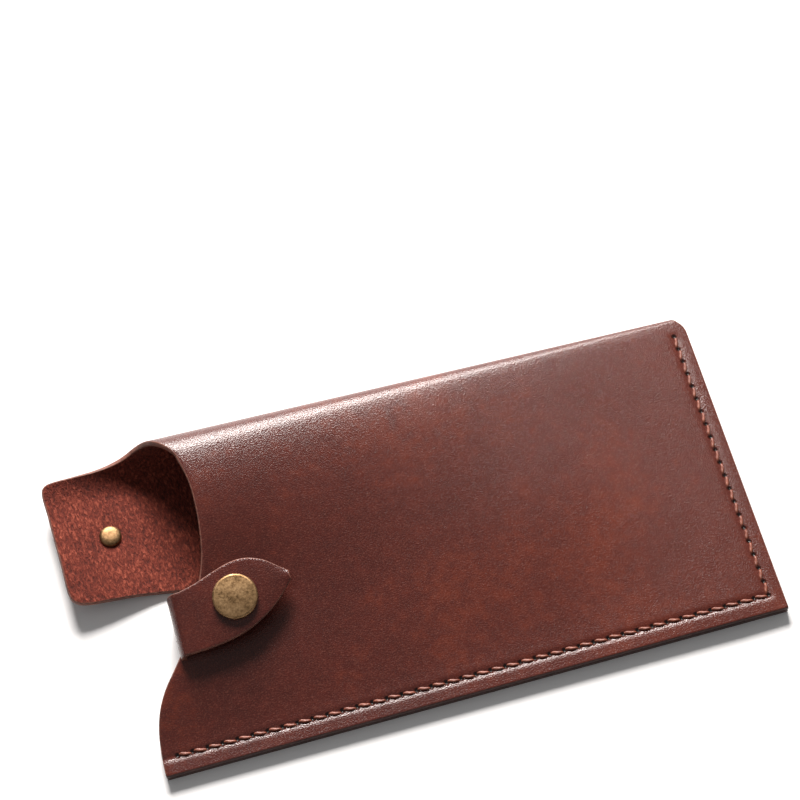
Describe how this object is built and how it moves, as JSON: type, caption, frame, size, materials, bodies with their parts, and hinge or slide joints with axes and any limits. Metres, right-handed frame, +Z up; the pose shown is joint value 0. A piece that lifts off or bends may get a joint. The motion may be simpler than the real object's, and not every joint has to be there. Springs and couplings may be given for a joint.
{
  "type": "soft pouch glasses case",
  "caption": "Soft leather pouch for a pair of glasses: one folded sheet sewn on two sides, with a flap and a strap that close on a press stud.",
  "frame": {"origin": "centre of the case's footprint, on the surface it lies on", "axes": "+X from the open mouth to the sewn end, +Y from the sewn long edge to the fold, +Z up from the back panel to the front panel"},
  "size_m": [0.189, 0.094, 0.0194],
  "materials": {
    "leather": "waxed, fine grain, satin",
    "suede": "suede, matt nap",
    "thread": "waxed thread, satin",
    "brass": "antique, brushed satin",
    "spring": "bright wire"
  },
  "bodies": {
    "pouch": {"back_panel": "leather", "fold_spine": "leather", "front_panel": "leather", "needle_thread": "thread", "bobbin_thread": "thread", "flap_bend": "suede", "strap_low_bend": "leather"},
    "riser": {"strap_riser": "leather", "strap_high_bend": "leather"},
    "flap": {"closure_flap": "suede", "snap_stud": "brass", "stud_post": "brass"},
    "strap": {"closure_strap": "leather", "snap_cap": "brass", "snap_socket": "brass", "socket_spring": "spring"}
  },
  "joints": [
    {"name": "flap_hinge", "type": "hinge", "parent": "pouch", "child": "flap", "pos_m": [-0.07136, 0.0261, 0.00153], "axis": [-0.2484, 0.9684, 0.0211], "range_deg": [0, 116], "deforming": ["flap_bend"]},
    {"name": "riser_hinge", "type": "hinge", "parent": "pouch", "child": "riser", "pos_m": [-0.06657, -0.00605, 0.00174], "axis": [0, -1, 0], "range_deg": [0, 88], "deforming": ["strap_low_bend"]},
    {"name": "strap_hinge", "type": "hinge", "parent": "riser", "child": "strap", "pos_m": [-0.06657, -0.00605, 0.01326], "axis": [0, -0.9808, -0.1949], "range_deg": [0, 83], "deforming": ["strap_high_bend"]}
  ]
}
